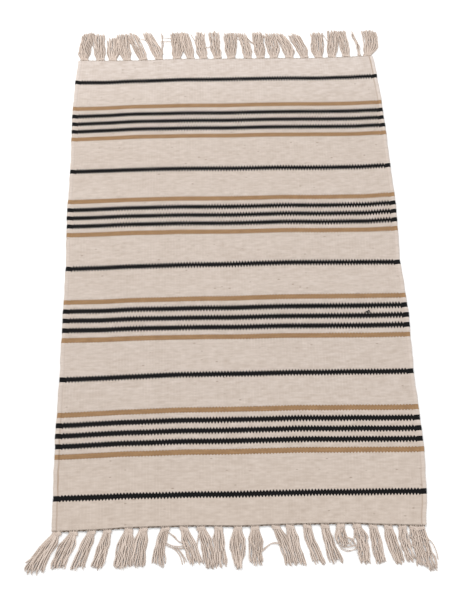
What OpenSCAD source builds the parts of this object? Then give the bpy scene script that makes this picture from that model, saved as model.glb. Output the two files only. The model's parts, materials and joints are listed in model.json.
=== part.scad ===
// Handwoven, weft-faced flatweave cotton rug with striped bands and a knotted
// fringe on both ends. Lies flat: +Z up, +X across, +Y along the length.
// The origin is at the centre of the underside.

/* [Woven field] */
// Width of the woven field across the stripes' length
field_w = 600; // [500:10:900]
// Length of the woven field between the two fringes
field_l = 900; // [880:5:920]
// Thickness of the weave
field_t = 4; // [3.6:0.1:5]
// Width of one woven-in edge bead, outside the groove that runs along each long side
bead_w = 7.5; // [6.5:0.1:9]
// How much thicker the edge bead is than the weave
bead_rise = 0.4; // [0:0.1:1]

/* [Stripes] */
// Distance between one single black stripe and the next
repeat = 200; // [190:1:205]
// Width of every coloured stripe
stripe_w = 8.5; // [6:0.5:11]
// Distance between stripe centres inside a group of five
group_pitch = 17.5; // [15:0.5:19]

/* [Yarns] */
// Diameter of a warp yarn
warp_d = 1.3; // [1:0.1:1.6]
// Distance between warp yarns
warp_pitch = 2.6; // [2.2:0.1:4]
// Diameter of a selvedge cord
selvedge_d = 2.4; // [1.8:0.1:2.6]
// Diameter of one strand of the twined end row
twine_d = 1.2; // [0.8:0.1:1.3]

/* [Fringe] */
// Width of the neck of a near tassel, where it leaves the weave
near_neck_w = 9; // [5:0.5:10]
// Width of the neck of a far tassel
far_neck_w = 12; // [5:0.5:13]
// Width of a near tassel close to its cut end
near_tassel_w = 19; // [9:0.5:20]
// Width of a far tassel close to its cut end
far_tassel_w = 20; // [9:0.5:21]
// Thickness of a tassel lying flat
tassel_t = 4.2; // [3.4:0.1:4.2]
// Length of a near tassel past its knot
near_len = 52; // [40:1:70]
// Length of a far tassel past its knot
far_len = 55; // [40:1:70]
// Length of the knot along the tassel
knot_l = 6; // [4:0.5:8]

/* [Hidden] */
$fn = 48;
e = 0.01;
half_w = field_w / 2;
half_l = field_l / 2;

// The rug folds along a line just past the centre stripe. The two halves stop
// either side of it.
fold_gap = 0.3;
fold_y = stripe_w / 2 + fold_gap / 2;

// The weave stops short of the ends by the row of twining.
row_l = 1.4;
weave_end = half_l - row_l;

// Half thickness of the wall of packed weft above and below the warps
slot_t = warp_d + 0.1;
slot_half = half_w - bead_w - 2;
bead_r = (field_t + bead_rise) / 2;
cord_hole = selvedge_d + 0.2;

// Where each tassel leaves the weave and how far its end leans sideways
near_root = [-293, -266, -238, -213, -180, -152, -121, -92, -65, -36, -7, 20,
             53, 80, 107, 133, 160, 187, 212, 237, 260, 280, 294];
near_lean = [-18, -20, -20, -16, -9, -5, -10, 20, 10, 5, 3, 0,
             21, 16, 21, 14, 15, 13, 11, 15, 14, 8, 8];
far_root = [-289, -256, -231, -198, -169, -137, -103, -73, -47, -19, 8, 41,
            67, 94, 126, 158, 188, 216, 246, 271, 292];
far_lean = [0, -9, -3, -17, -32, -29, 2, -14, -8, -4, -1, -7,
            0, -6, -21, -19, 7, 9, -5, -6, 10];

cream = [0.84, 0.79, 0.73];
ink = [0.13, 0.14, 0.15];
tan_dye = [0.66, 0.52, 0.36];
raw = [0.82, 0.74, 0.67];

// ---- the cross-section shared by every band of weft -----------------------

// Centres of the two selvedge cords on the +X side
function cord_xs() = [half_w - bead_r, half_w - bead_w + bead_r + 0.2];

module band_outline() {
  translate([-slot_half, 0]) square([2 * slot_half, field_t]);
  for (s = [-1, 1]) {
    // rounded shoulder of the weave beside the groove
    translate([s * slot_half, field_t / 2]) circle(d = field_t);
    // web under the groove
    translate([s > 0 ? slot_half - e : -slot_half - 4, 0])
      square([4 + e, field_t - 1]);
    // edge bead round the selvedge cords
    for (x = cord_xs()) translate([s * x, bead_r]) circle(r = bead_r);
    translate([s > 0 ? cord_xs()[1] : -cord_xs()[0], 0])
      square([cord_xs()[0] - cord_xs()[1], 2 * bead_r]);
  }
}

module band_section() {
  difference() {
    band_outline();
    translate([-slot_half, (field_t - slot_t) / 2]) square([2 * slot_half, slot_t]);
    for (s = [-1, 1], x = cord_xs()) translate([s * x, bead_r]) circle(d = cord_hole);
  }
}

// A band of packed weft between two places along the length
module weft_band(y0, y1) {
  translate([0, y1, 0]) rotate([90, 0, 0]) linear_extrude(height = y1 - y0) band_section();
}

// ---- bands ----------------------------------------------------------------

// Hand weaving puts each stripe a little off its even spacing.
single_shift = [-1.5, -3, 0, -4, -3];
group_shift = [1, -0.5, -1, 2];
function single_y(i) = (i - 3) * repeat + single_shift[i - 1];    // i = 1..5
function group_y(g) = (g - 2.5) * repeat + group_shift[g - 1];    // g = 1..4
function group_edge() = 2 * group_pitch + stripe_w / 2;

module single_stripe(i) {
  color(ink) weft_band(single_y(i) - stripe_w / 2, single_y(i) + stripe_w / 2);
}
module group_stripe(g, k, c) {
  yc = group_y(g) + k * group_pitch;
  color(c) weft_band(yc - stripe_w / 2, yc + stripe_w / 2);
}
module group_lines(g) {
  color(cream)
    for (k = [-2 : 1]) {
      y0 = group_y(g) + k * group_pitch + stripe_w / 2;
      weft_band(y0, y0 + group_pitch - stripe_w);
    }
}
module natural_band(y0, y1) { color(cream) weft_band(y0, y1); }

module near_end_band() natural_band(-weave_end, single_y(1) - stripe_w / 2);
module far_end_band() natural_band(single_y(5) + stripe_w / 2, weave_end);
module natural_band_1() natural_band(single_y(1) + stripe_w / 2, group_y(1) - group_edge());
module natural_band_2() natural_band(group_y(1) + group_edge(), single_y(2) - stripe_w / 2);
module natural_band_3() natural_band(single_y(2) + stripe_w / 2, group_y(2) - group_edge());
module natural_band_4() natural_band(group_y(2) + group_edge(), single_y(3) - stripe_w / 2);
module natural_band_5() natural_band(fold_y + fold_gap / 2, group_y(3) - group_edge());
module natural_band_6() natural_band(group_y(3) + group_edge(), single_y(4) - stripe_w / 2);
module natural_band_7() natural_band(single_y(4) + stripe_w / 2, group_y(4) - group_edge());
module natural_band_8() natural_band(group_y(4) + group_edge(), single_y(5) - stripe_w / 2);

// ---- yarns inside the weave -----------------------------------------------

warp_n = floor((2 * slot_half - warp_d - 1) / warp_pitch);
module warps(y0, y1) {
  color(raw)
    for (i = [0 : warp_n])
      translate([(i - warp_n / 2) * warp_pitch, y1, field_t / 2])
        rotate([90, 0, 0]) cylinder(d = warp_d, h = y1 - y0);
}
module near_warp_yarns() warps(-half_l, fold_y - fold_gap / 2);
module far_warp_yarns() warps(fold_y + fold_gap / 2, half_l);

module selvedge_cords(s, y0, y1) {
  color(cream)
    for (x = cord_xs())
      translate([s * x, y1, bead_r]) rotate([90, 0, 0]) cylinder(d = selvedge_d, h = y1 - y0);
}
module near_left_selvedge_cords() selvedge_cords(-1, -weave_end, fold_y - fold_gap / 2);
module near_right_selvedge_cords() selvedge_cords(1, -weave_end, fold_y - fold_gap / 2);
module far_left_selvedge_cords() selvedge_cords(-1, fold_y + fold_gap / 2, weave_end);
module far_right_selvedge_cords() selvedge_cords(1, fold_y + fold_gap / 2, weave_end);

// The last row at each end: one strand over the warps and one under them
module twined_row(s) {
  color(cream)
    for (z = [twine_d / 2, field_t - twine_d / 2])
      translate([-half_w + 3, s * (half_l - twine_d / 2), z])
        rotate([0, 90, 0]) cylinder(d = twine_d, h = field_w - 6);
}
module near_twined_row() twined_row(-1);
module far_twined_row() twined_row(1);

// ---- fringe ---------------------------------------------------------------

// The tassels turn with their knots about a line just past the end of the weave.
root_gap = 0.5;
neck_t = tassel_t - 2;

function end_x(root, lean, i) = root[i] + lean[i];
function room(root, lean, i) = min(
  i > 0 ? end_x(root, lean, i) - end_x(root, lean, i - 1) : 99,
  i < len(root) - 1 ? end_x(root, lean, i + 1) - end_x(root, lean, i) : 99);
function end_w(root, lean, i, most) = min(most, 0.84 * room(root, lean, i));
// Small regular differences in length, so that the cut is not a straight line
function cut(base, i) = base + 3 * sin(i * 77) + 1.5 * sin(i * 151);

// A knot is a collar of yarn pulled tight round the neck of its tassel.
module knot(x, neck_w) {
  translate([x, 0, 0]) rotate([90, 0, 0]) linear_extrude(height = knot_l)
    difference() {
      union() {
        square_w = neck_w + 2.4 - tassel_t;
        translate([-square_w / 2, 0]) square([square_w, tassel_t]);
        for (s = [-1, 1]) translate([s * square_w / 2, tassel_t / 2]) circle(d = tassel_t);
      }
      translate([-neck_w / 2 - 0.1, (tassel_t - neck_t) / 2 - 0.1])
        square([neck_w + 0.2, neck_t + 0.2]);
    }
}

// Outline of the loose yarns below the knot, from the shoulder to the cut end
module skirt(x, dx, len, w, neck_w) {
  linear_extrude(height = tassel_t)
    polygon([
      [x - neck_w / 2, 0],
      [x - neck_w / 2 - 0.6 + 0.10 * dx, -0.14 * len],
      [x - w / 2 + 0.55 * dx, -0.6 * len],
      [x - w / 2 + dx, -len + 5],
      [x - w / 2 + 2 + dx, -len],
      [x + w / 2 - 2 + dx, -len],
      [x + w / 2 + dx, -len + 5],
      [x + w / 2 + 0.55 * dx, -0.6 * len],
      [x + neck_w / 2 + 0.6 + 0.10 * dx, -0.14 * len],
      [x + neck_w / 2, 0]
    ]);
}

module tassel(x, dx, len, w, neck_w) {
  translate([x - neck_w / 2, -knot_l - 0.2 - e, (tassel_t - neck_t) / 2])
    cube([neck_w, knot_l + 0.2 + e, neck_t]);
  translate([0, -knot_l - 0.2, 0]) skirt(x, dx, len, w, neck_w);
}

module knots(root, neck_w) {
  for (x = root) knot(x, neck_w);
}
module tassels(root, lean, base, neck_w, most) {
  for (i = [0 : len(root) - 1])
    tassel(root[i], lean[i], cut(base, i), end_w(root, lean, i, most), neck_w);
}

module near_knots() color(raw) translate([0, -half_l - root_gap, 0])
  knots(near_root, near_neck_w);
module near_tassels() color(raw) translate([0, -half_l - root_gap, 0])
  tassels(near_root, near_lean, near_len, near_neck_w, near_tassel_w);
module far_knots() color(raw) mirror([0, 1, 0])
  translate([0, -half_l - root_gap, 0]) knots(far_root, far_neck_w);
module far_tassels() color(raw) mirror([0, 1, 0])
  translate([0, -half_l - root_gap, 0])
    tassels(far_root, far_lean, far_len, far_neck_w, far_tassel_w);

// ---- nodes ----------------------------------------------------------------

near_end_band();
single_stripe(1);  // black_stripe_1
natural_band_1();
group_stripe(1, -2, tan_dye);  // group_1_near_tan
group_stripe(1, -1, ink);  // group_1_black_a
group_stripe(1, 0, ink);  // group_1_black_b
group_stripe(1, 1, ink);  // group_1_black_c
group_stripe(1, 2, tan_dye);  // group_1_far_tan
group_lines(1);  // group_1_natural_lines
natural_band_2();
single_stripe(2);  // black_stripe_2
natural_band_3();
group_stripe(2, -2, tan_dye);  // group_2_near_tan
group_stripe(2, -1, ink);  // group_2_black_a
group_stripe(2, 0, ink);  // group_2_black_b
group_stripe(2, 1, ink);  // group_2_black_c
group_stripe(2, 2, tan_dye);  // group_2_far_tan
group_lines(2);  // group_2_natural_lines
natural_band_4();
single_stripe(3);  // black_stripe_3
natural_band_5();
group_stripe(3, -2, tan_dye);  // group_3_near_tan
group_stripe(3, -1, ink);  // group_3_black_a
group_stripe(3, 0, ink);  // group_3_black_b
group_stripe(3, 1, ink);  // group_3_black_c
group_stripe(3, 2, tan_dye);  // group_3_far_tan
group_lines(3);  // group_3_natural_lines
natural_band_6();
single_stripe(4);  // black_stripe_4
natural_band_7();
group_stripe(4, -2, tan_dye);  // group_4_near_tan
group_stripe(4, -1, ink);  // group_4_black_a
group_stripe(4, 0, ink);  // group_4_black_b
group_stripe(4, 1, ink);  // group_4_black_c
group_stripe(4, 2, tan_dye);  // group_4_far_tan
group_lines(4);  // group_4_natural_lines
natural_band_8();
single_stripe(5);  // black_stripe_5
far_end_band();
near_warp_yarns();
far_warp_yarns();
near_left_selvedge_cords();
near_right_selvedge_cords();
far_left_selvedge_cords();
far_right_selvedge_cords();
near_twined_row();
far_twined_row();
near_knots();
far_knots();
near_tassels();
far_tassels();
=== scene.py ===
"""Looks of a fringed, striped flatweave rug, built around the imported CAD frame.

Lengths in the weaving code are millimetres in the cloth's own flat coordinates, u across and v along,
and go through place() to the row frame in metres.
"""

import json
import math
import random

import bpy
import numpy as np
from mathutils import Matrix, Vector


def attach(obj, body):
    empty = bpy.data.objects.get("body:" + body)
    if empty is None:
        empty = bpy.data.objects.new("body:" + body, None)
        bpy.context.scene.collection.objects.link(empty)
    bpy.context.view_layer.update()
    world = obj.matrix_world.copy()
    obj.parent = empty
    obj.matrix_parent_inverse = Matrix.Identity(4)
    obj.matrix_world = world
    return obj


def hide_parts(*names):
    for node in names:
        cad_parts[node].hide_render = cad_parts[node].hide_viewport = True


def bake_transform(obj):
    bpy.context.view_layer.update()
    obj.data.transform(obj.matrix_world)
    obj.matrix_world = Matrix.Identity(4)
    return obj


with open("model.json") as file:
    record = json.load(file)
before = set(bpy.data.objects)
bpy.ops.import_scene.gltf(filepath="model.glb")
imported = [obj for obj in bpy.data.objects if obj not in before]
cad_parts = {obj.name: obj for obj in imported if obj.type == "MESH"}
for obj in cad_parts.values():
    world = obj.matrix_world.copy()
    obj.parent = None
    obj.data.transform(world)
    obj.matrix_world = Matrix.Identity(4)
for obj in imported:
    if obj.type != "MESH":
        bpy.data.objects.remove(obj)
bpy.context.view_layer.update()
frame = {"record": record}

# ---------------------------------------------------------------- camera, light, floor

scene = bpy.context.scene
scene.view_settings.view_transform = "Standard"
scene.view_settings.look = "None"
scene.view_settings.exposure = 0.0
scene.view_settings.gamma = 1.0

cam_data = bpy.data.cameras.new("camera")
cam = bpy.data.objects.new("camera", cam_data)
scene.collection.objects.link(cam)
scene.camera = cam
forward = Vector((0.01683, 0.36554, -0.93064)).normalized()
right = Vector((0.99964, -0.02541, 0.00809))
right = (right - forward * right.dot(forward)).normalized()
up = right.cross(forward).normalized()
forward = (forward + (up - right) * 0.000632).normalized()
right = (right - forward * right.dot(forward)).normalized()
up = right.cross(forward).normalized()
cam.matrix_world = Matrix(
    (
        (right.x, up.x, -forward.x, -0.03978),
        (right.y, up.y, -forward.y, -0.57496),
        (right.z, up.z, -forward.z, 1.29139),
        (0, 0, 0, 1),
    )
)
cam_data.sensor_width = 36.0
cam_data.lens = 791.3 / 600 * 36.0
cam_data.clip_start, cam_data.clip_end = 0.05, 50


def area_light(name, location, target, size, power, color=(1, 1, 1)):
    data = bpy.data.lights.new(name, "AREA")
    data.shape = "RECTANGLE"
    data.size, data.size_y = size
    data.energy = power
    data.color = color
    ob = bpy.data.objects.new(name, data)
    scene.collection.objects.link(ob)
    ob.location = location
    ob.rotation_mode = "QUATERNION"
    ob.rotation_quaternion = (Vector(target) - Vector(location)).to_track_quat("-Z", "Y")
    return ob


area_light("key_light", (-1.3, 1.7, 2.3), (0, 0, 0), (1.6, 1.6), 62, (1.0, 0.985, 0.965))
area_light("fill_light", (1.9, -1.1, 2.1), (0, 0, 0), (1.8, 1.8), 26, (0.97, 0.985, 1.0))

world = bpy.data.worlds.new("studio")
scene.world = world
world.use_nodes = True
world.node_tree.nodes["Background"].inputs["Color"].default_value = (1.0, 1.0, 1.0, 1)
world.node_tree.nodes["Background"].inputs["Strength"].default_value = 0.78

# ---------------------------------------------------------------- small helpers


def smooth(x):
    x = np.clip(x, 0.0, 1.0)
    return x * x * (3 - 2 * x)


rng = np.random.default_rng(20417)
TABLE = rng.random((64, 64))
TABLE_B = rng.random((64, 64))


def noise(x, y, table=TABLE):
    """Smooth value noise from 0 to 1 that repeats every 64 cells."""
    x, y = np.asarray(x, float), np.asarray(y, float)
    xi, yi = np.floor(x).astype(int), np.floor(y).astype(int)
    fx, fy = smooth(x - xi), smooth(y - yi)
    a, b = table[xi % 64, yi % 64], table[(xi + 1) % 64, yi % 64]
    c, d = table[xi % 64, (yi + 1) % 64], table[(xi + 1) % 64, (yi + 1) % 64]
    return (a * (1 - fx) + b * fx) * (1 - fy) + (c * (1 - fx) + d * fx) * fy


# ---------------------------------------------------------------- how the cloth lies

HALF_W, HALF_L, THICK = 300.0, 450.0, 4.0
WARP = 2.6  # warp spacing
PICK = 1.1  # spacing of rows of weft along v


# Where along v the lie of the cloth is given, and where across u
LIE_V = np.array([-450.0, -401, -350, -299, -250, -203, -150, -100, -50, 0, 50, 99, 150, 196, 250, 302, 350, 400, 450])
LEFT_IN = np.array([1.4, 0.2, -0.4, -1.2, -0.3, 0.7, 0.7, 0.7, 1.0, 1.3, 0.0, -1.6, -0.8, 0.3, 0.0, -1.6, -0.8, 1.2, 4.6])
RIGHT_IN = np.array([9.0, 2.8, -0.7, -1.2, 0.4, 1.0, -0.3, -1.8, -0.3, 2.0, 0.4, -1.8, -1.4, 0.2, 0.2, 1.2, 2.6, 5.2, 9.0])
BOW_U = np.array([-300.0, -280, -240, -180, -90, 0, 90, 180, 240, 280, 300])
BOW_V = np.array([-450.0, -401, -299, -203, -100, 0, 99, 196, 302, 400, 450])
BOW = np.array(
    [
        [-2.2, -2.4, -1.6, 0.6, 1.3, -1.0, 0.0, -1.0, -4.6, -6.6, -7.4],
        [-0.5, 0.0, 0.5, 1.3, 1.1, 0.0, 0.3, -0.9, -1.5, -2.0, -2.0],
        [-3.0, -2.6, -1.2, 0.4, 1.4, 0.5, 0.9, -0.7, -2.2, -2.6, -2.6],
        [-3.5, -3.3, -2.6, -0.8, 1.1, 0.5, 0.6, -0.3, -1.0, -1.3, -1.4],
        [-1.0, -0.8, -1.0, 0.6, 0.4, -0.5, 0.0, -1.6, -2.1, -2.2, -2.2],
        [-3.4, -3.2, -2.4, -0.9, 0.3, 0.1, 1.4, 0.0, -1.2, -1.8, -2.0],
        [-1.5, -1.4, -0.8, 0.9, 1.0, -0.7, 0.5, -1.1, -1.4, 0.8, 1.3],
        [-1.5, -1.3, -0.8, 0.6, 1.6, 0.1, 0.0, -1.6, -1.3, 0.1, 0.6],
        [-3.2, -2.8, -1.3, 1.1, 1.6, 0.6, 1.0, -0.2, -0.5, 0.8, 1.2],
        [-1.4, -2.0, -2.5, -0.6, 1.3, 0.8, 1.3, 0.0, 0.8, 2.6, 3.2],
        [-1.6, -1.8, -3.2, -3.6, -1.4, -2.8, -3.2, -4.6, -3.2, -1.4, -1.2],
    ]
)


def ease(grid, x):
    """(index, weight) for a smooth step from one listed place to the next."""
    i = np.clip(np.searchsorted(grid, x, side="right") - 1, 0, len(grid) - 2)
    t = np.clip((x - grid[i]) / (grid[i + 1] - grid[i]), 0, 1)
    return i, 0.5 * t + 0.5 * smooth(t)


def lie_x(u, v):
    """The long edges aren't quite straight, and the far corners pull in."""
    i, t = ease(LIE_V, v)
    left = LEFT_IN[i] * (1 - t) + LEFT_IN[i + 1] * t + 0.35 * np.sin(v / 11.0) + 0.25 * np.sin(v / 4.3)
    rite = RIGHT_IN[i] * (1 - t) + RIGHT_IN[i + 1] * t + 0.35 * np.sin(v / 12.0 + 0.6) + 0.25 * np.sin(v / 4.7)
    return left * smooth((-u - 40) / 260) - rite * smooth((u - 40) / 260)


# some groups of stripes are beaten up tighter or looser than the others: middle of the group, then how much
# looser it is at the left edge, in the middle and at the right edge
BEAT = [(-100.5, 0.0, 0.022, 0.050), (99.0, -0.055, -0.034, -0.020), (302.0, -0.020, -0.032, -0.024)]


def lie_y(u, v):
    """The picks bow a little between the edges."""
    i, t = ease(BOW_V, v)
    k, w = ease(BOW_U, u)
    near = BOW[i, k] * (1 - w) + BOW[i, k + 1] * w
    far = BOW[i + 1, k] * (1 - w) + BOW[i + 1, k + 1] * w
    y = near * (1 - t) + far * t + 0.12 * np.sin(u / 17.0 + v / 60.0)
    for middle, *loose in BEAT:
        off = v - middle
        y = y + np.interp(u, [-250.0, 0.0, 230.0], loose) * off * np.exp(-((off / 50.0) ** 4))
    return y


def lie_z(u, v):
    """Low swells, down to nothing at the two ends and where the rug folds."""
    calm = smooth((415 - np.abs(v)) / 90) * smooth((np.abs(v - 4.4) - 18) / 60)
    swell = 0.20 * (1 + np.sin(u / 95.0 + v / 60.0 + 0.6)) + 0.12 * (1 + np.sin(u / 43.0 - v / 105.0 + 2.1))
    edge = 0.7 * smooth((np.abs(u) - 262) / 38) * noise(v / 46.0 + 20.5, np.sign(u) * 3 + 10)
    return calm * (swell + edge)


def place(u, v, z):
    """Flat cloth coordinates and height in millimetres to the row frame in metres."""
    u, v = np.asarray(u, float), np.asarray(v, float)
    return np.stack([u + lie_x(u, v), v + lie_y(u, v), lie_z(u, v) + z], -1) / 1000.0


# ---------------------------------------------------------------- meshes


def new_mesh(name, verts, faces, uvs=None, bake=None, relief=None, material=None, smooth_shade=True):
    """faces is a list of (n, k) index arrays, and uvs and bake follow them loop by loop."""
    mesh = bpy.data.meshes.new(name)
    mesh.vertices.add(len(verts))
    mesh.vertices.foreach_set("co", np.asarray(verts, np.float32).ravel())
    loops = np.concatenate([f.ravel() for f in faces]).astype(np.int32)
    sizes = np.concatenate([np.full(len(f), f.shape[1]) for f in faces])
    starts = np.concatenate([[0], np.cumsum(sizes)[:-1]]).astype(np.int32)
    mesh.loops.add(len(loops))
    mesh.loops.foreach_set("vertex_index", loops)
    mesh.polygons.add(len(sizes))
    mesh.polygons.foreach_set("loop_start", starts)
    mesh.update(calc_edges=True)
    for layer, data in (("fabric", uvs), ("OFBake", bake)):
        if data is not None:
            mesh.uv_layers.new(name=layer).data.foreach_set("uv", np.asarray(data, np.float32).ravel())
    if relief is not None:
        mesh.attributes.new("relief", "FLOAT", "POINT").data.foreach_set(
            "value", np.asarray(relief, np.float32)
        )
    mesh.polygons.foreach_set("use_smooth", np.full(len(sizes), smooth_shade))
    mesh.validate()
    mesh.update()
    ob = bpy.data.objects.new(name, mesh)
    scene.collection.objects.link(ob)
    if material:
        mesh.materials.append(material)
    return ob


# Columns across the cloth: a crest on every warp and a groove between, then the edge bead
N_WARP = 111
col_u = np.arange(-N_WARP * 2, N_WARP * 2 + 1) * (WARP / 2)  # crest where the index is even
col_crest = (np.arange(-N_WARP * 2, N_WARP * 2 + 1) % 2 == 0).astype(float)
col_sign = np.where((np.arange(-N_WARP * 2, N_WARP * 2 + 1) % 4) == 0, 1.0, -1.0) * col_crest
edge_u = np.array([290.2, 291.4, 292.4, 293.2, 294.3, 295.5, 296.7, 297.9, 298.9, 299.6, 300.0])
COL_U = np.concatenate([-edge_u[::-1], col_u, edge_u])
COL_CREST = np.concatenate([np.full(11, 0.6), col_crest, np.full(11, 0.6)])
COL_SIGN = np.concatenate([np.zeros(11), col_sign, np.zeros(11)])


def profile(u):
    """(underside, top) of the cloth without its weave, in mm: flat, a groove, then the edge bead."""
    a = np.abs(u)
    r = 3.72
    bead = 2.2 + np.where(a > 292.55, 2.15 * np.sqrt(np.clip(1 - ((a - 296.28) / r) ** 2, 0, 1)), 0)
    field = THICK - 0.25 - 0.75 * smooth((a - 289.6) / 3.0)
    top = np.where(a > 292.9, np.maximum(bead, 2.2), field)
    low = np.where(a > 297.6, 2.2 - 2.1 * np.sqrt(np.clip(1 - ((a - 297.6) / 2.42) ** 2, 0, 1)), 0.12)
    return low, top


def weave(u, v, crest, sign, row_up, seed):
    """(height of the ribs and picks, how raised it is: 0 to 1, and below 0 in the seam by the edge). The materials
    paint shade where it is low.
    """
    side = smooth((292 - np.abs(u)) / 2.0)
    thick = noise(v / PICK / 2 + seed, u / 34.0 + 7 + seed) - 0.5
    slub = noise(v / 1.7 + 31 + seed, u / 9.0 + seed, TABLE_B) - 0.5
    firm = 0.45 + 0.75 * noise(u / 38.0 + 4, v / 29.0 + 8, TABLE_B)
    rib = (crest - 0.55) * 0.32 * firm
    over = np.where(row_up, 1.0, -1.0)
    pick = over * (0.05 + 0.13 * sign)  # each pick goes over every other warp
    patch = noise(u / 47.0 + 9, v / 36.0 + 3, TABLE_B)
    fleck = np.clip(noise(u / 5.2 + 3, v / 3.0 + seed, TABLE_B) - 0.86, 0, 1) * 1.6
    height = side * (rib + pick + 0.22 * thick + 0.18 * slub + fleck)
    height += (1 - side) * np.where(row_up, 0.14, -0.14)
    short = 0.25 + 1.5 * noise(u / 5.2 + 1, v / 8.0 + 5)
    raised = 0.46 + side * ((crest - 0.5) * 0.14 * firm * short + 0.09 * patch * short * sign + 0.12 * over * sign)
    lump = noise(u / 6.5 + 17, v / 4.5 + 2, TABLE_B) - 0.5
    raised = np.clip(raised + 0.26 * (1 - side) + 0.5 * slub + 0.30 * lump * side, 0, 1)
    # the seam's strength is set by place along the length: it shows most at the near end of the left side and the far
    # end of the right side
    seam_reach = np.where(u < 0, smooth((-v - 170) / 220), smooth((v - 250) / 130) + 0.45 * smooth((-v - 330) / 80))
    seam = np.exp(-(((np.abs(u) - 292.4) / 0.9) ** 2)) * (0.12 + 0.68 * seam_reach)
    seam = seam * (0.55 + 0.9 * noise(v / 31.0 + 2, np.sign(u) * 5 + 30))
    raised = raised * (1 - np.clip(seam * 2, 0, 1)) - np.clip(seam, 0, 1)
    return height, raised


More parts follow.
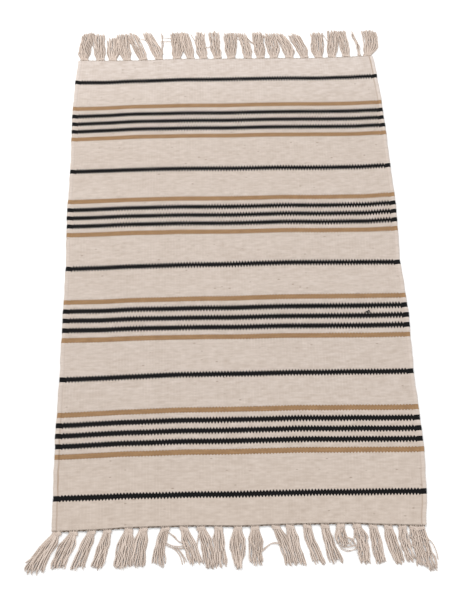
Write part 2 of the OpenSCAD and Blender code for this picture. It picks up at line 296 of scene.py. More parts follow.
def cloth_band(name, spans, material):
    """A closed slab of weave for each (v0, v1, teeth at v0, teeth at v1) in spans, as one piece."""
    verts, relief, quads, uvs, bakes = [], [], [], [], []
    base = 0
    m = len(COL_U)
    shelf = 1.0 / len(spans)
    for s, (v0, v1, t0, t1) in enumerate(spans):
        n = max(2, 2 * round((v1 - v0) / PICK / 2))
        k = np.arange(n + 1)[:, None]
        u = np.broadcast_to(COL_U[None, :], (n + 1, m))
        along = k / n
        # picks are beaten up unevenly, so the rows wander a little but never cross
        wander = 0.16 * np.sin(math.pi * along) * (noise(u / 26.0 + 11, v0 / 7.0 + k / 2.3) - 0.5) * 2
        if t0 > 0 and t1 > 0:
            teeth = t0 + (t1 - t0) * along
        elif t0 > 0:
            teeth = t0 * smooth((1 - along) * 6)
        elif t1 > 0:
            teeth = t1 * smooth(along * 6)
        else:
            teeth = np.zeros_like(along)
        at = v0 + (v1 - v0) * along
        jag = 1.95 * (0.74 + 0.2 * smooth((u + 270) / 200)) * (0.8 + 0.4 * noise(u / 21.0 + 2, at / 40.0 + 20, TABLE_B)) * (1 + 0.3 * smooth((at + 250) / 350))
        inside = np.minimum(along, 1 - along) * (v1 - v0)
        teeth = teeth * (0.5 + 0.5 * np.exp(-inside / 3.0))
        v = at + COL_SIGN[None, :] * teeth * jag + wander
        v_low = at + 0.45 * COL_SIGN[None, :] * teeth * jag + wander
        row_up = (k % 2 == 0) & np.ones((1, m), bool)
        low, top = profile(u)
        crest = np.broadcast_to(COL_CREST[None, :], (n + 1, m))
        # the boundary rows take a height that depends only on where they are, so bands meet
        sign = np.broadcast_to(COL_SIGN, (n + 1, m))
        h_top, r_top = weave(u, v, crest, sign, row_up, 0)
        h_low, r_low = weave(u, v_low, 1 - crest, -sign, ~row_up, 23)
        # neighbouring bands part a little where they meet
        part = ((k == 0) & (t0 > 0)) | ((k == n) & (t1 > 0))
        part = part * smooth((291 - np.abs(u)) / 3.0)
        h_top = h_top - 0.34 * part
        flat = np.abs(u) > 297.9
        z_top = np.maximum(top + np.where(flat, 0.35, 1.0) * h_top, 2.2)
        z_low = np.minimum(low + np.where(flat, 0.0, 1.0) * (0.42 - np.clip(h_low + 0.42, 0.05, 0.9)) + 0.34, 2.2)
        z_low = np.where(flat, low, np.clip(z_low + 0.8 * part, 0.02, 1.6))
        outer = np.zeros((n + 1, m), bool)
        outer[:, 0] = outer[:, -1] = True
        bump = np.where(row_up, 0.22, -0.22)
        u_out = u + np.sign(u) * np.where(np.abs(u) > 298, bump * (np.abs(u) - 298) / 2, 0)
        z_top = np.where(outer, 2.35, z_top)
        z_low = np.where(outer, 2.05, z_low)
        p_top = place(u_out, v, z_top).reshape(-1, 3)
        p_low = place(u_out, v_low, z_low).reshape(-1, 3)
        idx = np.arange((n + 1) * m).reshape(n + 1, m)
        T, B = base + idx, base + (n + 1) * m + idx
        base += 2 * (n + 1) * m
        verts += [p_top, p_low]
        relief += [r_top.ravel(), r_low.ravel()]

        def grid(I, flip):
            a, b, c, d = I[:-1, :-1], I[:-1, 1:], I[1:, 1:], I[1:, :-1]
            q = np.stack([a, b, c, d] if not flip else [a, d, c, b], -1)
            return q.reshape(-1, 4)

        def strip(a, b):
            """Quads between two rows of indices, facing out when a runs anticlockwise seen from outside."""
            return np.stack([a[:-1], a[1:], b[1:], b[:-1]], -1)

        fab = np.stack([u, v], -1) / 100.0
        i_n, k_n = np.arange(m) / (m - 1), np.arange(n + 1) / n
        bu = np.broadcast_to((0.02 + 0.95 * i_n)[None, :], (n + 1, m))
        y_top = shelf * (s + 0.02 + 0.44 * k_n)
        y_low = shelf * (s + 0.54 + 0.44 * k_n)
        bk_top = np.stack([bu, np.broadcast_to(y_top[:, None], (n + 1, m))], -1)
        bk_low = np.stack([bu, np.broadcast_to(y_low[:, None], (n + 1, m))], -1)

        def corners(grid_uv, flip):
            a, b, c, d = grid_uv[:-1, :-1], grid_uv[:-1, 1:], grid_uv[1:, 1:], grid_uv[1:, :-1]
            q = np.stack([a, b, c, d] if not flip else [a, d, c, b], -2)
            return q.reshape(-1, 2)

        quads += [grid(T, False), grid(B, True)]
        uvs += [corners(fab, False), corners(fab + [13.3, 0.0], True)]
        bakes += [corners(bk_top, False), corners(bk_low, True)]
        # near wall, far wall, left wall, right wall
        for a, b, fa, y0, y1, x0, x1 in (
            (B[0], T[0], fab[0], 0.475, 0.485, 0.02, 0.97),
            (T[-1], B[-1], fab[-1], 0.50, 0.51, 0.02, 0.97),
            (T[:, 0], B[:, 0], fab[:, 0], 0.02, 0.46, 0.978, 0.984),
            (B[:, -1], T[:, -1], fab[:, -1], 0.54, 0.98, 0.988, 0.994),
        ):
            q = strip(a, b)
            quads.append(q)
            f0, f1 = fa[:-1], fa[1:]
            uvs.append(np.stack([f0, f1, f1 + 0.01, f0 + 0.01], 1).reshape(-1, 2))
            t = np.linspace(0, 1, len(a))
            if x1 - x0 > 0.5:
                A = np.stack([x0 + (x1 - x0) * t, np.full(len(t), shelf * (s + y0))], -1)
                C = np.stack([x0 + (x1 - x0) * t, np.full(len(t), shelf * (s + y1))], -1)
            else:
                A = np.stack([np.full(len(t), x0), shelf * (s + y0 + (y1 - y0) * t)], -1)
                C = np.stack([np.full(len(t), x1), shelf * (s + y0 + (y1 - y0) * t)], -1)
            bakes.append(np.stack([A[:-1], A[1:], C[1:], C[:-1]], 1).reshape(-1, 2))
    return new_mesh(
        name,
        np.concatenate(verts),
        quads,
        np.concatenate(uvs),
        np.concatenate(bakes),
        np.concatenate(relief),
        material,
    )


def tubes(name, paths, radii, sides, material, twist=None, lobes=0.0, flank=0.0, tones=None, seed=1):
    """One piece made of closed round yarns. paths is a list of (n, 3) points in metres, radii one radius each or one
    for each point, and sides one number or one each. A lobed cross-section that turns along the yarn shows its
    plies, with painted shade in the grooves between them, and flank is painted shade on the two sides of a yarn, where
    its neighbours press on it."""
    verts, faces_q, faces_t, uv_q, uv_t, bake_q, bake_t, relief = [], [], [], [], [], [], [], []
    base = 0
    pick = random.Random(seed)
    # the bake's map gives each yarn a cell of its own, with its length across the cell
    across = max(1, round(math.sqrt(len(paths) / 16)))
    cell_w, cell_h = 1 / across, 1 / math.ceil(len(paths) / across)
    for which, (path, radius) in enumerate(zip(paths, radii)):
        k = sides[which] if hasattr(sides, "__len__") else sides
        path = np.asarray(path, float)
        n = len(path)
        radius = np.broadcast_to(np.asarray(radius, float), (n,))
        tangent = np.gradient(path, axis=0)
        tangent /= np.linalg.norm(tangent, axis=1)[:, None] + 1e-12
        # the first corner of each ring stays as near to straight up as the yarn allows
        normal = np.zeros((n, 3))
        first = np.array([0, 0, 1.0]) if abs(tangent[0][2]) < 0.9 else np.array([1.0, 0, 0])
        normal[0] = first - tangent[0] * (first @ tangent[0])
        normal[0] /= np.linalg.norm(normal[0])
        for i in range(1, n):
            w = normal[i - 1] - tangent[i] * (normal[i - 1] @ tangent[i])
            normal[i] = w / (np.linalg.norm(w) + 1e-12)
        side = np.cross(tangent, normal)
        length = np.concatenate([[0], np.cumsum(np.linalg.norm(np.diff(path, axis=0), axis=1))])
        ang = (np.arange(k) + 0.5) / k * 2 * math.pi
        turn = (length * (2 * math.pi / twist) if twist else length * 0) + pick.random() * 6.28
        lobe = np.cos(2 * (ang[None, :] - turn[:, None]))
        rad = radius[:, None] * (1 + lobes * lobe)
        out = normal[:, None, :] * np.cos(ang)[None, :, None] + side[:, None, :] * np.sin(ang)[None, :, None]
        ring = path[:, None, :] + out * rad[..., None]
        idx = base + np.arange(n * k).reshape(n, k)
        verts.append(ring.reshape(-1, 3))
        tone = tones[which] if tones is not None else 0.0
        # painted shade: the ply grooves and, through flank, the two sides of each yarn are painted darker; tone is
        # each yarn's own tone
        shade = 0.78 + 0.22 * lobe + tone if lobes else np.full((n, k), 0.75 + tone)
        if flank:
            shade = shade * (1 - flank * (1 - np.abs(out[..., 2]) ** 0.8))
        relief.append(np.clip(shade, 0, 1).ravel())
        nxt = np.roll(idx, -1, axis=1)
        q = np.stack([idx[:-1], idx[1:], nxt[1:], nxt[:-1]], -1).reshape(-1, 4)
        faces_q.append(q)
        shift = which * 0.37
        a0 = np.broadcast_to((np.arange(k) / k * 0.05)[None, :], (n, k)) + shift
        a1 = a0 + 0.05 / k
        l0 = np.broadcast_to(length[:, None] * 10, (n, k))
        uv_q.append(
            np.stack(
                [
                    np.stack([l0[:-1], a0[:-1]], -1),
                    np.stack([l0[1:], a0[1:]], -1),
                    np.stack([l0[1:], a1[1:]], -1),
                    np.stack([l0[:-1], a1[:-1]], -1),
                ],
                2,
            ).reshape(-1, 2)
        )
        cx, cy = (which % across + 0.02) * cell_w, (which // across + 0.1) * cell_h
        bl = cx + cell_w * (0.03 + 0.9 * np.broadcast_to((length / length[-1])[:, None], (n, k)))
        b0 = cy + cell_h * 0.8 * np.broadcast_to((np.arange(k) / k)[None, :], (n, k))
        b1 = b0 + cell_h * 0.8 / k
        ring_corners = ((bl[:-1], b0[:-1]), (bl[1:], b0[1:]), (bl[1:], b1[1:]), (bl[:-1], b1[:-1]))
        bake_q.append(np.stack([np.stack(c, -1) for c in ring_corners], 2).reshape(-1, 2))
        slot_y = cy + cell_h * 0.8 * np.arange(k) / k
        for x0, x1 in ((cx, cx + 0.02 * cell_w), (cx + 0.96 * cell_w, cx + 0.94 * cell_w)):
            tri = [(np.full(k, x0), slot_y + 0.4 * cell_h / k), (np.full(k, x1), slot_y), (np.full(k, x1), slot_y + 0.8 * cell_h / k)]
            bake_t.append(np.stack([np.stack(c, -1) for c in tri], 1).reshape(-1, 2))
        # close both ends on a middle point
        mid = base + n * k
        verts.append(np.stack([path[0], path[-1]]))
        relief.append(np.array([0.4, 0.4]))
        faces_t.append(np.stack([np.full(k, mid), idx[0], np.roll(idx[0], -1)], -1))
        faces_t.append(np.stack([np.full(k, mid + 1), np.roll(idx[-1], -1), idx[-1]], -1))
        uv_t.append(np.tile([[0.0, shift], [0.0, shift + 0.01], [0.01, shift]], (k, 1)))
        tip = length[-1] * 10
        uv_t.append(np.tile([[tip, shift], [tip, shift + 0.01], [tip - 0.01, shift]], (k, 1)))
        base += n * k + 2
    return new_mesh(
        name,
        np.concatenate(verts),
        [np.concatenate(faces_q), np.concatenate(faces_t)],
        np.concatenate(uv_q + uv_t),
        np.concatenate(bake_q + bake_t),
        np.concatenate(relief),
        material,
    )


# ---------------------------------------------------------------- materials


def cotton(name, base, deep, light, fleck, seam, flecks=0.5, streak=1.0, rough=0.92, sheen=0.15, bump=0.35, shade=0.62, ends=None):
    """Hand-spun cotton: streaks along the yarn, painted shade in the hollows, slubs and specks of other fibre, and a
    fuzzy surface.
    """
    mat = bpy.data.materials.new(name)
    mat.use_nodes = True
    nt = mat.node_tree
    N, L = nt.nodes, nt.links
    bsdf = N["Principled BSDF"]
    bsdf.inputs["Specular IOR Level"].default_value = 0.18
    bsdf.inputs["Sheen Weight"].default_value = sheen
    bsdf.inputs["Sheen Roughness"].default_value = 0.6

    uv = N.new("ShaderNodeUVMap")
    uv.uv_map = "fabric"
    rel = N.new("ShaderNodeAttribute")
    rel.attribute_name = "relief"

    def mapped(sx, sy, ox=0.0, oy=0.0):
        m = N.new("ShaderNodeMapping")
        m.inputs["Scale"].default_value = (sx, sy, 1)
        m.inputs["Location"].default_value = (ox, oy, 0)
        L.new(uv.outputs["UV"], m.inputs["Vector"])
        return m.outputs["Vector"]

    def fractal(vector, scale, detail=2.0, rough_=0.5):
        t = N.new("ShaderNodeTexNoise")
        t.inputs["Scale"].default_value = scale
        t.inputs["Detail"].default_value = detail
        t.inputs["Roughness"].default_value = rough_
        L.new(vector, t.inputs["Vector"])
        return t.outputs["Fac"]

    def spread(value, a, b, c=0.0, d=1.0):
        m = N.new("ShaderNodeMapRange")
        for key, x in (("From Min", a), ("From Max", b), ("To Min", c), ("To Max", d)):
            m.inputs[key].default_value = x
        L.new(value, m.inputs["Value"])
        return m.outputs["Result"]

    def product(a, b):
        m = N.new("ShaderNodeMath")
        m.operation = "MULTIPLY"
        L.new(a, m.inputs[0])
        if hasattr(b, "links"):
            L.new(b, m.inputs[1])
        else:
            m.inputs[1].default_value = b
        return m.outputs["Value"]

    def mix(fac, a, b):
        m = N.new("ShaderNodeMix")
        m.data_type = "RGBA"
        L.new(fac, m.inputs["Factor"])
        for key, val in (("A", a), ("B", b)):
            sock = [s for s in m.inputs if s.name == key and s.type == "RGBA"][0]
            if hasattr(val, "links"):
                L.new(val, sock)
            else:
                sock.default_value = (*val, 1)
        return [s for s in m.outputs if s.type == "RGBA"][0]

    # each pick of weft has its own tone for a few centimetres, with shorter slubs over that
    picks = spread(fractal(mapped(5.5, 62.0), 1.0, 2.0, 0.55), 0.32, 0.68)
    slubs = spread(fractal(mapped(11.0, 36.0, 5.0, 3.0), 1.0, 3.0, 0.6), 0.34, 0.66)
    clouds = spread(fractal(mapped(1.0, 1.0, 3.1, 1.7), 2.6, 3.0, 0.55), 0.3, 0.7)
    fibre = spread(fractal(mapped(22.0, 150.0, 1.3, 0.4), 1.0, 3.0, 0.6), 0.28, 0.72)
    col = mix(
        picks,
        tuple(b * (1 - 0.055 * streak) for b in base),
        tuple(min(1, b * (1 + 0.05 * streak)) for b in base),
    )
    col = mix(product(slubs, 0.5), col, tuple(b * (1 - 0.20 * streak) for b in base))
    col = mix(product(clouds, 0.2), col, light)
    col = mix(product(fibre, 0.28), col, deep)
    if ends:
        split = N.new("ShaderNodeSeparateXYZ")
        L.new(uv.outputs["UV"], split.inputs["Vector"])
        col = mix(spread(split.outputs["Y"], -4.5, -2.2, 0.40, 0.0), col, ends[0])
        col = mix(spread(split.outputs["Y"], 3.2, 4.2, 0.0, 0.5), col, ends[1])
    # painted shade: the hollows between the ribs and picks, and the shaded sides of yarns, where relief is low, are
    # painted towards deep; the seam inside the edge cords is browner
    col = mix(spread(rel.outputs["Fac"], 0.05, 0.85, shade, 0.0), col, deep)
    col = mix(spread(rel.outputs["Fac"], -1.0, 0.0, 0.85, 0.0), col, seam)
    # specks: short slubs of darker fibre lying along the weft
    if flecks > 0:
        v = N.new("ShaderNodeTexVoronoi")
        v.inputs["Scale"].default_value = 1.0
        v.inputs["Randomness"].default_value = 1.0
        L.new(mapped(8.0, 19.0, 0.7, 2.2), v.inputs["Vector"])
        few = N.new("ShaderNodeSeparateColor")
        L.new(v.outputs["Color"], few.inputs["Color"])
        speck = product(spread(v.outputs["Distance"], 0.08, 0.24, 1.0, 0.0), spread(few.outputs["Red"], 0.88, 0.96))
        col = mix(product(speck, flecks), col, fleck)
    L.new(col, bsdf.inputs["Base Color"])
    L.new(spread(fibre, 0.0, 1.0, rough - 0.06, min(1.0, rough + 0.06)), bsdf.inputs["Roughness"])

    b = N.new("ShaderNodeBump")
    b.inputs["Strength"].default_value = bump
    b.inputs["Distance"].default_value = 0.00035
    L.new(fibre, b.inputs["Height"])
    L.new(b.outputs["Normal"], bsdf.inputs["Normal"])
    return mat


NATURAL = cotton(
    "natural_weft", (0.579, 0.504, 0.4535), (0.36, 0.288, 0.234), (0.64, 0.568, 0.515), (0.17, 0.12, 0.085), (0.32, 0.215, 0.14), 0.6, 0.8,
    ends=((0.56, 0.468, 0.392), (0.665, 0.60, 0.565)),
)
BLACK = cotton(
    "black_weft", (0.0034, 0.0032, 0.0037), (0.0015, 0.0015, 0.0016), (0.0085, 0.0088, 0.0102), (0.06, 0.056, 0.052), (0.003, 0.0025, 0.0025), 0.35, 2.6, 0.9, 0.02
)
TAN = cotton(
    "tan_weft", (0.333, 0.198, 0.097), (0.19, 0.104, 0.048), (0.395, 0.255, 0.14), (0.14, 0.085, 0.045), (0.14, 0.075, 0.038), 0.4, 1.6
)
# fringe_yarn's dark deep colour and high shade paint shade between and beside the yarns
FRINGE = cotton(
    "fringe_yarn", (0.786, 0.670, 0.592), (0.235, 0.155, 0.102), (0.83, 0.74, 0.665), (0.26, 0.17, 0.11), (0.2, 0.13, 0.08), 0.4, 1.5, 0.94, 0.2, 0.3, 0.88
)
CORD = cotton(
    "edge_cord", (0.60, 0.52, 0.45), (0.30, 0.23, 0.18), (0.68, 0.61, 0.54), (0.22, 0.16, 0.11), (0.2, 0.13, 0.08), 0.4
)
# end_twine's deep colour is a painted shadow, the dark brown of the shade under the woven edge
TWINE = cotton(
    "end_twine", (0.58, 0.50, 0.43), (0.115, 0.08, 0.056), (0.68, 0.61, 0.54), (0.22, 0.16, 0.11), (0.1, 0.07, 0.05), 0.3, 1.4, 0.94, 0.15, 0.35, 0.97
)

# ---------------------------------------------------------------- the bands of weft

STRIPE = 8.5
SINGLES = [-401.5, -203.0, 0.0, 196.0, 397.0]
GROUPS = [-299.0, -100.5, 99.0, 302.0]
PITCH = 17.5
WEAVE_END = 448.6
BLUNT = 0.55  # the tan stripes' edges are less toothed than the black ones'
FOLD_V = 4.4
h = STRIPE / 2

bands = []  # (node, spans, material, slot)
for i, y in enumerate(SINGLES):
    hi = FOLD_V if i == 2 else y + h
    bands.append((f"black_stripe_{i + 1}", [(y - h, hi, 1, 1)], BLACK, "black_weft"))
for g, y in enumerate(GROUPS):
    n = f"group_{g + 1}"
    for part, k, mat, slot in (
        ("near_tan", -2, TAN, "tan_weft"),
        ("black_a", -1, BLACK, "black_weft"),
        ("black_b", 0, BLACK, "black_weft"),
        ("black_c", 1, BLACK, "black_weft"),
        ("far_tan", 2, TAN, "tan_weft"),
    ):
        c = y + k * PITCH
        bands.append((f"{n}_{part}", [(c - h, c + h, *((BLUNT, BLUNT) if mat is TAN else (1, 1)))], mat, slot))
    bands.append(
        (
            f"{n}_natural_lines",
            [
                (y + k * PITCH + h, y + (k + 1) * PITCH - h, BLUNT if k == -2 else 1, BLUNT if k == 1 else 1)
                for k in (-2, -1, 0, 1)
            ],
            NATURAL,
            "natural_weft",
        )
    )
out = 2 * PITCH + h
naturals = [
    ("near_end_band", -WEAVE_END, SINGLES[0] - h, 0, 1),
    ("natural_band_1", SINGLES[0] + h, GROUPS[0] - out, 1, BLUNT),
    ("natural_band_2", GROUPS[0] + out, SINGLES[1] - h, BLUNT, 1),
    ("natural_band_3", SINGLES[1] + h, GROUPS[1] - out, 1, BLUNT),
    ("natural_band_4", GROUPS[1] + out, SINGLES[2] - h, BLUNT, 1),
    ("natural_band_5", FOLD_V, GROUPS[2] - out, 1, BLUNT),
    ("natural_band_6", GROUPS[2] + out, SINGLES[3] - h, BLUNT, 1),
    ("natural_band_7", SINGLES[3] + h, GROUPS[3] - out, 1, BLUNT),
    ("natural_band_8", GROUPS[3] + out, SINGLES[4] - h, BLUNT, 1),
    ("far_end_band", SINGLES[4] + h, WEAVE_END, 1, 0),
]
for n, a, b, ta, tb in naturals:
    bands.append((n, [(a, b, ta, tb)], NATURAL, "natural_weft"))

near_nodes = set(frame["record"]["behaviour"]["bodies"]["near_half"])
for node, spans, mat, slot in bands:
    ob = cloth_band("weft_" + node, spans, mat)
    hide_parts(node)
    body = "near_half" if node in near_nodes else "far_half"
    low, high = spans[0][0], spans[-1][1]
    if low < FOLD_V + 22 and high > FOLD_V - 22:
        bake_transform(ob)
    else:
        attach(ob, body)

# ---------------------------------------------------------------- yarns inside the weave


def fold_rows(a, b):
    """Places along v from a to b, close together where the rug folds."""
    if a < 0:
        coarse = np.linspace(a, FOLD_V - 17, 18)
        return np.concatenate([coarse[:-1], np.linspace(FOLD_V - 17, b, 11)])
    return np.concatenate([np.linspace(a, FOLD_V + 17, 11)[:-1], np.linspace(FOLD_V + 17, b, 18)])


def lengthwise(name, us, z, radius, sides, material, a, b):
    vs = fold_rows(a, b)
    paths = [place(np.full(len(vs), u), vs, np.full(len(vs), z)) for u in us]
    ob = tubes(name, paths, [radius / 1000] * len(us), sides, material)
    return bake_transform(ob)


warp_us = np.arange(-111, 112) * WARP
for end, a, b in (("near", -HALF_L, FOLD_V - 0.1), ("far", FOLD_V + 0.1, HALF_L)):
    ob = lengthwise(f"{end}_warp_yarns_soft", warp_us, 2.0, 0.62, 4, FRINGE, a, b)
    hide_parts(f"{end}_warp_yarns")
    a2, b2 = (-WEAVE_END + 0.4, b) if end == "near" else (a, WEAVE_END - 0.4)
    for sidename, s in (("left", -1), ("right", 1)):
        ob = lengthwise(
            f"{end}_{sidename}_selvedge_soft", [s * 294.9, s * 297.5], 2.2, 1.0, 8, CORD, a2, b2
        )
        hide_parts(f"{end}_{sidename}_selvedge_cords")

# ---------------------------------------------------------------- twined row at each end


def twined(end, s):
    """Two strands that cross each other between warps and lock the last pick. Their low parts are painted dark, as
    painted shadow under the edge.
    """
    n = 520
    t = np.linspace(-297.5, 297.5, n)
    paths, tones = [], []
    for ph in (0, math.pi):
        a = t / 7.8 * math.pi + ph
        v = s * (HALF_L - 0.2 + 0.35 * np.cos(a) + 0.1 * np.sin(t / 23.0 + ph))
        z = 2.0 + 1.0 * np.sin(a)
        paths.append(place(t, v, z))
    ob = tubes(f"{end}_twined_row_soft", paths, [0.00078] * 2, 8, TWINE, twist=0.004, lobes=0.1, flank=0.3, seed=5)
    # painted shadow: dark wherever it is low, and the near row darker than the far one
    co = np.zeros(len(ob.data.vertices) * 3, np.float32)
    ob.data.vertices.foreach_get("co", co)
    z = co.reshape(-1, 3)[:, 2] * 1000
    ob.data.attributes["relief"].data.foreach_set("value", (smooth((z - 2.6) / 1.2) * (0.4 if s < 0 else 0.8)).astype(np.float32))
    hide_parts(f"{end}_twined_row")
    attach(ob, "near_half" if s < 0 else "far_half")
    return ob


twines = {"near": twined("near", -1), "far": twined("far", 1)}

# ---------------------------------------------------------------- knots and tassels

# root across, how far the cut end leans, sideways bulge half-way, length, width of the loose part,
# how much of that width is left at the cut end, and how curly the yarn is
NEAR = [
    (-292, -33, -1, 60, 27, 1.25, 1.1), (-266, -24, -1, 55, 25, 1.05, 1.0), (-238, -21, 0, 57, 21, 1.15, 1.0),
    (-213, -16, 1, 58, 19, 1.05, 1.3), (-179, -12, 0, 59, 24, 1.05, 1.0), (-156, -10, 0, 59, 23, 1.1, 0.9),
    (-121, -10, -2, 58, 17, 1.3, 0.9), (-92, 19, 0, 57, 21, 1.2, 1.1), (-65, 13, 2, 63, 19, 1.1, 1.1),
    (-37, 2, 0, 60, 19, 1.1, 1.1), (-7, 0, -1, 63, 25, 0.5, 1.1), (20, 0, 0, 58, 22, 1.05, 1.3),
    (53, 20, 2, 60, 18, 1.0, 1.0), (76, 12, -1, 62, 19, 1.1, 0.9), (104, 17, -2, 60, 17, 1.15, 0.8),
    (133, 15, -1, 58, 17, 1.4, 1.0), (159, 11, -3, 33, 21, 1.0, 2.4), (186, 8, 2, 60, 22, 0.8, 2.2),
    (213, 8, 0, 59, 17, 1.0, 1.0), (238, 13, -1, 58, 19, 0.9, 1.0), (261, 12, -2, 54, 17, 1.05, 1.7),
    (279, 9, -1, 62, 17, 1.0, 1.8), (290, 11, 0, 66, 15, 1.15, 1.4),
]
FAR = [
    (-288, 6, -2, 65, 22.5, 0.9, 1.0), (-256, -6, 0, 64, 21, 1.05, 0.9), (-231, 3, 0, 54, 25, 1.0, 0.9),
    (-202, -9, -1, 62, 23, 1.0, 0.9), (-169, -22, 1, 64, 20, 1.0, 0.9), (-137, -22, 2, 64, 21, 0.7, 0.9),
    (-101, 3, 0, 63, 23, 1.1, 1.1), (-73, -13, 1, 63, 20, 0.95, 1.0), (-47, -6, -1, 62, 21, 0.7, 1.2),
    (-19, -7, 0, 64, 19, 1.0, 1.0), (8, 0, 0, 61, 23, 1.0, 1.2), (41, -10, 2, 61, 19, 0.8, 1.1),
    (67, -4, 0, 62, 20, 0.9, 1.1), (94, -6, 2, 58, 24, 0.95, 1.3), (126, -18, 4, 58, 22, 0.8, 1.1),
    (158, -18, 2, 58, 21, 1.0, 0.9), (188, 1, -1, 60, 24, 0.9, 1.0), (216, 7, 0, 64, 21, 1.0, 1.1),
    (246, -6, 1, 62, 18, 1.0, 1.0), (273, -10, 2, 58, 5, 1.0, 1.6), (289, 8, 4, 60, 27, 0.95, 0.9),
]
NECK = {-1: 6.3, 1: 7.2}  # half the width of the bundle where it leaves the weave
YARN = 1.04


def strand_path(s, root_x, lean, bulge, length, fan, layer, spread, tip, curl, pick, n=36):
    """One yarn of a tassel, from inside the weave to its cut end."""
    t = np.linspace(0, 1, n)
    d = -3.0 + (length + 3.0) * t  # distance past the end of the weave
    past = np.clip(d / 60.0, 0, 1.2)
    sweep = 0.25 * smooth(past * 1.1) + 0.75 * past
    neck = NECK[s] if spread > 10 else 2.2
    wide = neck + (spread / 2 - neck) * smooth((d - 3) / 19)
    wide = wide * (1 + (tip - 1) * smooth((past - 0.45) / 0.5))
    a, b, c = (pick.random() * 6.28 for _ in range(3))
    free = smooth((d - 6) / 16)
    sway = curl * free * (0.75 * np.sin(d / 8.5 + a) + 0.5 * np.sin(d / 4.1 + b) + 0.22 * np.sin(d / 2.0 + c))
    gather = smooth((d + 2.5) / 4)
    spot = fan * (neck * 1.5 * (1 - gather) + wide * gather)
    x = root_x + lean * sweep + bulge * 1.5 * np.sin(math.pi * np.clip(past, 0, 1)) + spot + sway
    x += float(lie_x(np.array(float(root_x)), np.array(s * (HALF_L - 1))))
    y = s * (HALF_L + d) + float(lie_y(np.array(float(root_x)), np.array(s * (HALF_L - 1))))
    tight = 2.1 + (0.75 if layer else -0.75)
    loose = YARN + 0.03 + (1.75 if layer else 0.0) + curl * 0.12 * (1 + np.sin(d / 6.0 + c)) * (0.4 if layer else 0.0)
    z = tight * (1 - free) + loose * free
    return np.stack([x, y, z], -1) / 1000.0


def tassel(s, row, pick):
    """The yarns of one tassel and the fibre that its cut ends open into, as lists of (path, radius, sides, tone)."""
    root_x, lean, bulge, length, spread, tip, curl = row
    length += 2.4 if s > 0 else -1.0
    if s > 0 and spread > 10:
        spread += 1.8
        tip *= 1.12
    low = max(2, round(spread / 2.5))
    high = max(2, low - 2)
    fans = [(-1 + 2 * (j + 0.5) / low, 0) for j in range(low)] + [
        (0.86 * (-1 + 2 * (j + 0.5) / high), 1) for j in range(high)
    ]
    out = []
    for fan, layer in fans:
        fan = fan + pick.uniform(-0.06, 0.06)
        own = length + pick.uniform(-4.5, 3.0) - 2.0 * fan * fan
        path = strand_path(s, root_x, lean, bulge, own, fan, layer, spread, tip, curl * pick.uniform(0.6, 1.3), pick)
        n = len(path)
        grow = smooth(np.linspace(-0.05, 1, n) * 5)
        r = (0.64 + (YARN * pick.uniform(0.93, 1.05) - 0.64) * grow) / 1000
        r[-2:] *= [0.95, 0.75]
        out.append((path, r, 6, pick.uniform(-0.22, 0.12)))
        tipp, back = path[-1], path[-1] - path[-3]
        back = back / (np.linalg.norm(back) + 1e-9)
        for _ in range(1 if layer else 2):
            a = pick.uniform(-0.6, 0.6)
            go = np.array([back[0] * math.cos(a) - back[1] * math.sin(a), back[0] * math.sin(a) + back[1] * math.cos(a), 0])
            q = np.linspace(0, 1, 3)[:, None]
            f = tipp - back * 0.0012 + go * q * pick.uniform(1.8, 3.8) / 1000
            f[:, 2] = np.maximum(f[:, 2] + q[:, 0] * pick.uniform(-0.3, 0.3) / 1000, 0.0004)
            out.append((f, np.array([0.45, 0.36, 0.14]) / 1000, 4, pick.uniform(-0.5, 0.0)))
    return out


def knot_paths(s, row, pick):
    """The bundle's own yarn goes round its neck, side by side in a slanted band."""
    root_x = row[0]
    wide = (NECK[s] if row[4] > 10 else 2.2) + 0.55
    slant = pick.choice((-1, 1)) * pick.uniform(0.10, 0.22)
    sx = float(lie_x(np.array(float(root_x)), np.array(s * (HALF_L - 1))))
    sy = float(lie_y(np.array(float(root_x)), np.array(s * (HALF_L - 1))))
    paths = []
    for k in range(4):
        a = np.linspace(0, 2 * math.pi, 29) + 0.3
        x = wide * (1 - 0.05 * abs(k - 1.5)) * np.cos(a)
        z = 2.14 + 1.44 * np.sin(a)
        d = 1.9 + k * 1.25 + slant * x + 0.3 * np.sin(a * 2 + k)
        paths.append(np.stack([root_x + x + sx, s * (HALF_L + d) + sy, z], -1) / 1000)
    return paths


def stray(s, pts, r, pick):
    """A loose yarn on a smooth line through listed points, (across, past the weave, height) in mm."""
    pts = np.array(pts, float)
    t = np.linspace(0, len(pts) - 1, 9 * (len(pts) - 1) + 1)
    i = np.clip(t.astype(int), 0, len(pts) - 2)
    f = (t - i)[:, None]
    p0, p1 = pts[np.maximum(i - 1, 0)], pts[i]
    p2, p3 = pts[i + 1], pts[np.minimum(i + 2, len(pts) - 1)]
    c = 0.5 * (2 * p1 + (p2 - p0) * f + (2 * p0 - 5 * p1 + 4 * p2 - p3) * f**2 + (3 * p1 - p0 - 3 * p2 + p3) * f**3)
    c[:, 2] = np.clip(c[:, 2], r + 0.03, 4.3 - r)
    c[:, 1] = s * (HALF_L + c[:, 1])
    return (c / 1000, np.full(len(c), r / 1000), 6, pick.uniform(-0.2, 0.05))


def fringe(end, s, rows, strays):
    pick = random.Random(41 if s < 0 else 87)
    yarns, knots = [], []
    for row in rows:
        yarns += tassel(s, row, pick)
        knots += knot_paths(s, row, pick)
    for pts, r in strays:
        yarns.append(stray(s, pts, r, pick))
    paths, radii, sides, tones = zip(*yarns)
    body = tubes(
        f"{end}_tassels_soft", paths, radii, sides, FRINGE, twist=0.0075, lobes=0.10, flank=0.80, tones=tones, seed=9
    )
    knot = tubes(f"{end}_knots_soft", knots, [0.00066] * len(knots), 6, FRINGE, twist=0.006, lobes=0.1, flank=0.5, seed=3)
    for ob, node in ((body, f"{end}_tassels"), (knot, f"{end}_knots")):
        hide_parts(node)
        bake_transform(ob)
    return body, knot


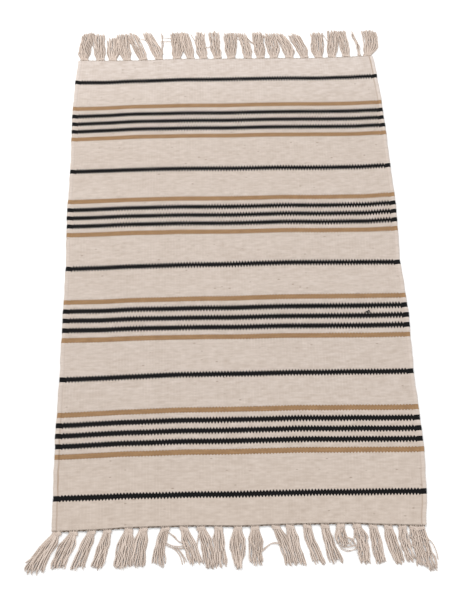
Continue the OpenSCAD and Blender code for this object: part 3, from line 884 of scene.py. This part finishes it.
# Loose yarns that lie across from one tassel to the next: (across, distance past the weave, height), radius
near_strays = [
    ([(-296, 7, 2.5), (-305, 20, 2.4), (-320, 35, 1.6), (-337, 47, 1.0)], 0.8),
    ([(-297, 8, 3.2), (-309, 24, 2.8), (-325, 40, 1.8), (-331, 58, 1.0)], 0.8),
    ([(-294, 7, 3.2), (-302, 26, 3.0), (-313, 46, 2.6), (-319, 66, 1.2)], 0.8),
    ([(-117, 5, 2.8), (-115, 8, 3.0), (-106, 14, 1.6), (-99, 22, 2.2), (-86, 23, 3.4)], 0.75),
    ([(-116, 6, 3.0), (-111, 11, 2.2), (-104, 18, 1.4), (-97, 23, 2.0), (-84, 25, 3.4)], 0.6),
    ([(-124, 22, 3.4), (-119, 26, 3.2), (-111, 30, 1.6), (-98, 32, 1.4), (-84, 30, 3.4)], 0.8),
    ([(-125, 19, 3.4), (-116, 25, 3.0), (-108, 28, 2.6), (-97, 29, 2.6), (-86, 26, 3.5)], 0.75),
    ([(-112, 29, 3.0), (-105, 34, 1.4), (-98, 43, 1.0), (-94, 56, 1.0)], 0.8),
    ([(-106, 30, 3.2), (-99, 36, 2.0), (-93, 46, 1.2), (-91, 54, 1.0)], 0.75),
    ([(-103, 29, 3.2), (-96, 38, 2.4), (-90, 47, 1.6), (-88, 52, 1.4)], 0.7),
    ([(-65, 6, 3.2), (-68, 11, 2.4), (-71, 25, 1.2), (-70, 40, 1.2), (-65, 52, 3.0)], 0.8),
    ([(18, 36, 3.3), (25, 41, 2.2), (33, 37, 1.2), (43, 29, 1.2), (53, 27, 1.4), (63, 32, 3.4)], 0.75),
    ([(20, 38, 3.4), (27, 40, 2.0), (36, 33, 1.0), (46, 28, 1.8), (60, 29, 3.4)], 0.6),
    ([(154, 8, 3.2), (150, 18, 2.6), (148, 28, 1.6), (158, 36, 1.6), (174, 34, 2.6), (172, 25, 3.4), (160, 20, 3.5)], 0.8),
    ([(157, 9, 3.2), (153, 20, 3.0), (154, 29, 2.2), (163, 32, 2.4), (171, 27, 3.2), (163, 21, 3.5)], 0.75),
    ([(166, 30, 3.2), (174, 35, 2.8), (185, 34, 2.2), (190, 26, 3.2), (184, 20, 3.4)], 0.75),
    ([(152, 38, 1.0), (163, 43, 1.0), (176, 39, 1.4), (184, 33, 3.0)], 0.45),
    ([(150, 34, 1.4), (160, 40, 1.0), (172, 41, 1.2), (182, 37, 2.4)], 0.5),
    ([(180, 10, 3.3), (176, 18, 2.2), (181, 25, 3.3), (190, 22, 3.5), (187, 15, 3.5)], 0.75),
    ([(256, 14, 3.2), (252, 24, 2.4), (258, 33, 2.6), (269, 40, 3.3), (275, 52, 2.2)], 0.75),
    ([(262, 22, 3.4), (272, 30, 3.4), (284, 36, 3.4), (291, 48, 3.0)], 0.75),
    ([(270, 12, 3.3), (281, 24, 3.5), (294, 30, 3.4), (301, 44, 2.6), (303, 58, 1.4)], 0.75),
]
far_strays = [
    ([(-128, 12, 2.0), (-129, 25, 1.4), (-127, 38, 1.4), (-130, 52, 1.2), (-131, 64, 1.0)], 0.8),
    ([(-130, 11, 2.6), (-130, 22, 2.6), (-130, 40, 2.2), (-128, 60, 1.2)], 0.7),
    ([(-134, 41, 3.0), (-124, 43, 1.6), (-114, 43, 1.6), (-98, 40, 3.4)], 0.65),
    ([(-130, 51, 3.2), (-121, 52, 1.2), (-114, 51, 1.2), (-101, 48, 3.4)], 0.55),
    ([(-180, 52, 3.2), (-168, 49, 1.6), (-160, 46, 1.2), (-149, 38, 3.0)], 0.6),
    ([(-72, 60, 3.2), (-67, 50, 1.6), (-61, 40, 1.4), (-51, 24, 3.2)], 0.75),
    ([(-45, 25, 3.4), (-36, 28, 1.6), (-28, 30, 1.4), (-15, 27, 3.4)], 0.75),
    ([(16, 50, 3.4), (24, 46, 1.8), (31, 41, 1.4), (37, 33, 3.0)], 0.65),
    ([(42, 47, 3.4), (50, 39, 1.4), (58, 34, 1.2), (72, 36, 3.4)], 0.8),
    ([(44, 40, 3.4), (54, 34, 1.4), (62, 31, 1.6), (72, 30, 3.4)], 0.6),
    ([(92, 40, 3.2), (98, 32, 1.4), (96, 24, 1.4), (104, 18, 3.0)], 0.55),
    ([(196, 52, 3.4), (201, 42, 1.6), (207, 30, 1.6), (214, 20, 3.4)], 0.65),
    ([(204, 44, 3.2), (209, 51, 1.4), (215, 56, 2.6)], 0.5),
]
near_tassels, near_knots = fringe("near", -1, NEAR, near_strays)
far_tassels, far_knots = fringe("far", 1, FAR, far_strays)

# ---------------------------------------------------------------- a snag of black yarn on one natural line


def snag():
    """A loop of black weft pulled up between two stripes."""
    loops = [
        ([(226.0, -95.5), (227.5, -92.5), (229.5, -93.5), (231.0, -90.2), (232.6, -89.6), (232.2, -93.0), (231.0, -96.0)], 0.62),
        ([(228.0, -96.0), (229.6, -92.0), (231.8, -91.6), (233.0, -94.2), (233.4, -96.4)], 0.55),
        ([(225.2, -94.6), (226.8, -93.4), (228.4, -94.6), (229.4, -96.2)], 0.5),
    ]
    paths, radii = [], []
    for pts, r in loops:
        pts = np.array(pts)
        t = np.linspace(0, len(pts) - 1, 6 * len(pts))
        x, y = (np.interp(t, range(len(pts)), pts[:, c]) for c in (0, 1))
        x, y = x - 1.2, -96.2 + 0.68 * (y + 96.2)
        z = 4.3 + 0.9 * np.sin(np.linspace(0, math.pi, len(t)))
        paths.append(place(x, y, z))
        radii.append(np.full(len(t), r / 1000))
    ob = tubes("black_snag", paths, radii, 6, BLACK, seed=2)
    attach(ob, "near_half")


snag()

# ---------------------------------------------------------------- floor

floor_mesh = bpy.data.meshes.new("floor")
S = 6.0
floor_mesh.from_pydata([(-S, -S, 0), (S, -S, 0), (S, S, 0), (-S, S, 0)], [], [(0, 1, 2, 3)])
floor = bpy.data.objects.new("floor", floor_mesh)
scene.collection.objects.link(floor)
fm = bpy.data.materials.new("floor")
fm.use_nodes = True
fm.node_tree.nodes["Principled BSDF"].inputs["Base Color"].default_value = (0.93, 0.93, 0.93, 1)
fm.node_tree.nodes["Principled BSDF"].inputs["Roughness"].default_value = 0.9
fm.node_tree.nodes["Principled BSDF"].inputs["Specular IOR Level"].default_value = 0.1
floor_mesh.materials.append(fm)
